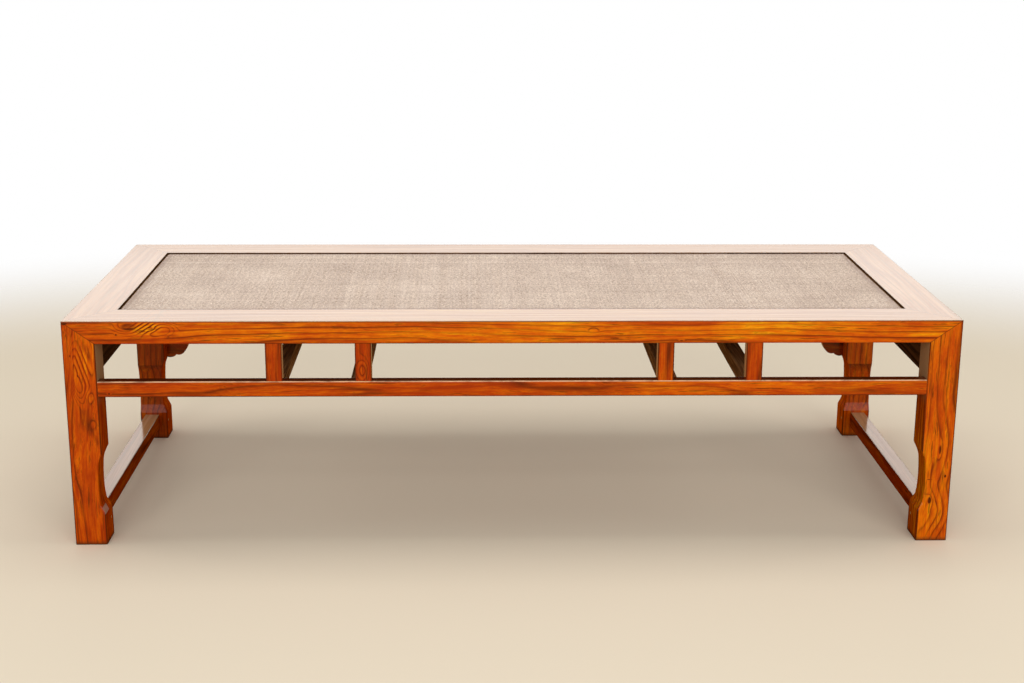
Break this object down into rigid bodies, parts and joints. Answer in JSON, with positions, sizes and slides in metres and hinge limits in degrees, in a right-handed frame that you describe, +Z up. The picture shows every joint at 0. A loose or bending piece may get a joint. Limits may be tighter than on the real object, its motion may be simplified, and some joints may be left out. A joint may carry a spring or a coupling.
{
  "type": "kang table",
  "caption": "Low long table with a woven mat panel set in a mitred lacquered frame, square waisted legs, strutted side stretchers and low end stretchers.",
  "frame": {"origin": "on the floor, under the middle of the table", "axes": "+X along the table to the right seen from the front, -Y towards the front, +Z up"},
  "size_m": [1.7, 0.706, 0.447],
  "materials": {
    "lacquered_elm": "orange-brown stained elm under a clear gloss lacquer",
    "bare_elm": "old unfinished elm, smoke dark",
    "rattan_mat": "woven split rattan, matt, laid on boards",
    "bamboo_pegs": "plain bamboo pegs, cut flush"
  },
  "bodies": {
    "root": {"front_rail": "lacquered_elm", "back_rail": "lacquered_elm", "left_end_rail": "lacquered_elm", "right_end_rail": "lacquered_elm", "front_left_leg": "lacquered_elm", "front_right_leg": "lacquered_elm", "back_left_leg": "lacquered_elm", "back_right_leg": "lacquered_elm", "front_stretcher": "lacquered_elm", "back_stretcher": "lacquered_elm", "front_strut_1": "lacquered_elm", "front_strut_2": "lacquered_elm", "front_strut_3": "lacquered_elm", "front_strut_4": "lacquered_elm", "back_strut_1": "lacquered_elm", "back_strut_2": "lacquered_elm", "back_strut_3": "lacquered_elm", "back_strut_4": "lacquered_elm", "left_end_board": "lacquered_elm", "right_end_board": "lacquered_elm", "left_side_stretcher": "lacquered_elm", "right_side_stretcher": "lacquered_elm", "back_left_bracket": "lacquered_elm", "back_right_bracket": "lacquered_elm", "cross_bar_1": "bare_elm", "cross_bar_2": "bare_elm", "cross_bar_3": "bare_elm", "cross_bar_4": "bare_elm", "top_board_1": "bare_elm", "top_board_2": "bare_elm", "top_board_3": "bare_elm", "batten_1": "bare_elm", "batten_2": "bare_elm", "batten_3": "bare_elm", "mat": "rattan_mat", "joint_pegs": "bamboo_pegs"}
  },
  "joints": []
}
